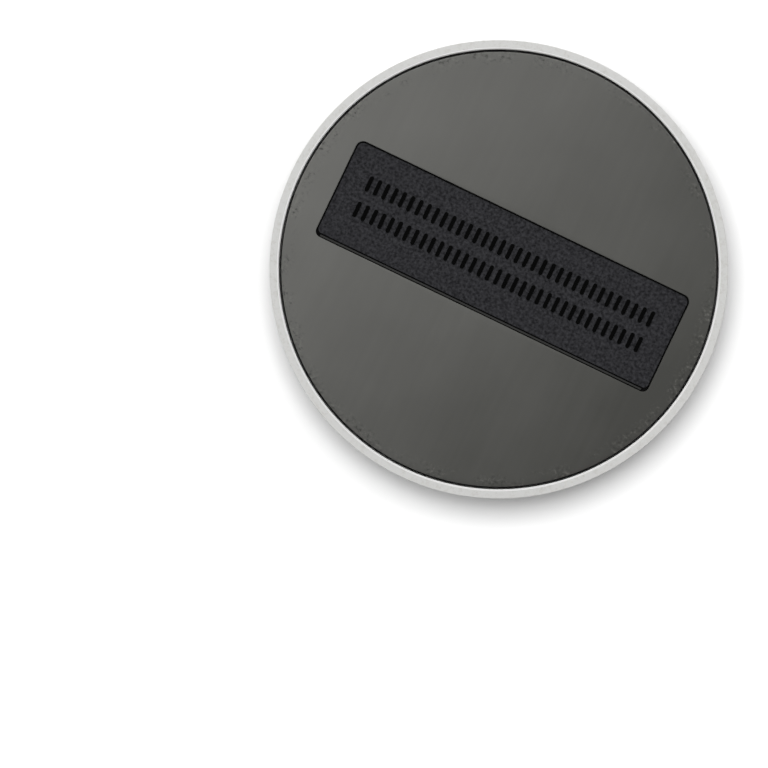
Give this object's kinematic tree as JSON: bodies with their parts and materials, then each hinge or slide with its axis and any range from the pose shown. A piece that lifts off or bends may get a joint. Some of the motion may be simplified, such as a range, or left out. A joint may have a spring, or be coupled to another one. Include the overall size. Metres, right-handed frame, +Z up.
{
  "type": "security tag detacher",
  "caption": "Flat round magnetic detacher with a white domed-edge cover, a ring-and-core magnet inside and a soft dark base pad with an inset label plate.",
  "frame": {"origin": "centre of the plane the puck rests on, which is the lower face of the base pad", "axes": "+Z up through the white working face, +X along the label plate, +Y towards the label's upper edge"},
  "size_m": [0.095, 0.095, 0.016],
  "materials": {
    "cover_white": "white ABS, fine satin spark texture",
    "pad_dark": "dark grey soft pad, matt, lightly scuffed",
    "base_dark": "dark grey moulded ABS, satin",
    "label_black": "black plate, fine grain, raised bars smooth",
    "film": "double-sided adhesive film",
    "yoke_steel": "zinc-plated mild steel",
    "magnet_nickel": "nickel-plated magnet",
    "carrier_black": "black glass-filled nylon",
    "spacer_natural": "natural acetal",
    "foam_grey": "closed-cell foam",
    "screw_zinc": "zinc-plated steel"
  },
  "bodies": {
    "root": {"top_cover": "cover_white", "base_pad": "pad_dark", "pad_adhesive": "film", "label_plate": "label_black", "label_adhesive": "film", "base_plate": "base_dark", "yoke_plate": "yoke_steel", "magnet_carrier": "carrier_black", "ring_magnet": "magnet_nickel", "spacer_ring": "spacer_natural", "core_magnet": "magnet_nickel", "foam_disc": "foam_grey", "cover_screw_1": "screw_zinc", "cover_screw_2": "screw_zinc", "cover_screw_3": "screw_zinc", "cover_screw_4": "screw_zinc", "cover_screw_5": "screw_zinc", "cover_screw_6": "screw_zinc", "carrier_screw_1": "screw_zinc", "carrier_screw_2": "screw_zinc", "carrier_screw_3": "screw_zinc", "carrier_screw_4": "screw_zinc"}
  },
  "joints": []
}
